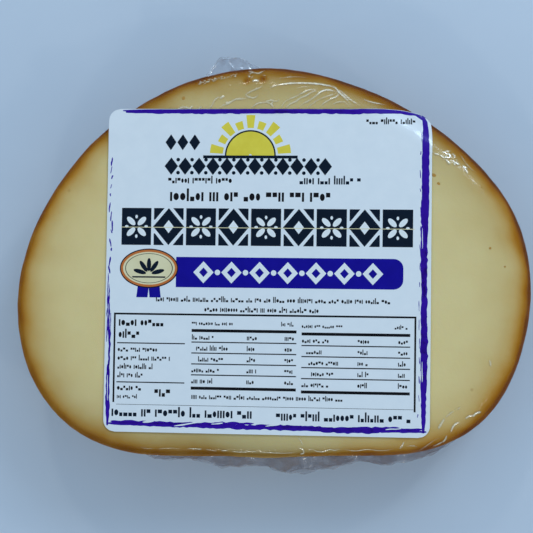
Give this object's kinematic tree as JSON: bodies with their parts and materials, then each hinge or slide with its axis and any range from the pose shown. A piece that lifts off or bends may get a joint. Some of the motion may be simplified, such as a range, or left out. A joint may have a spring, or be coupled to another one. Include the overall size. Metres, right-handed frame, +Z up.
{
  "type": "provolone cheese",
  "caption": "Loaf-shaped slab of smoked provolone cheese with a browned rind, sealed in clear shrink film with ruffled tails, a square paper label on its upper face.",
  "frame": {"origin": "centre of the bounding box of slab and film tails, on the plane the slab lies on", "axes": "+Z up out of the labelled cut face, +Y from the flattened foot to the round arch of the outline, which is the label's upward direction, +X to the label's right"},
  "size_m": [0.1422, 0.1202, 0.0344],
  "materials": {
    "wrapped_cheese": "pale cream cheese with a smoke-browned rind, under tight clear glossy shrink film",
    "label_paper": "semi-gloss coated white paper with indigo, navy and yellow print"
  },
  "bodies": {
    "root": {"wrapped_cheese": "wrapped_cheese", "label": "label_paper"}
  },
  "joints": []
}
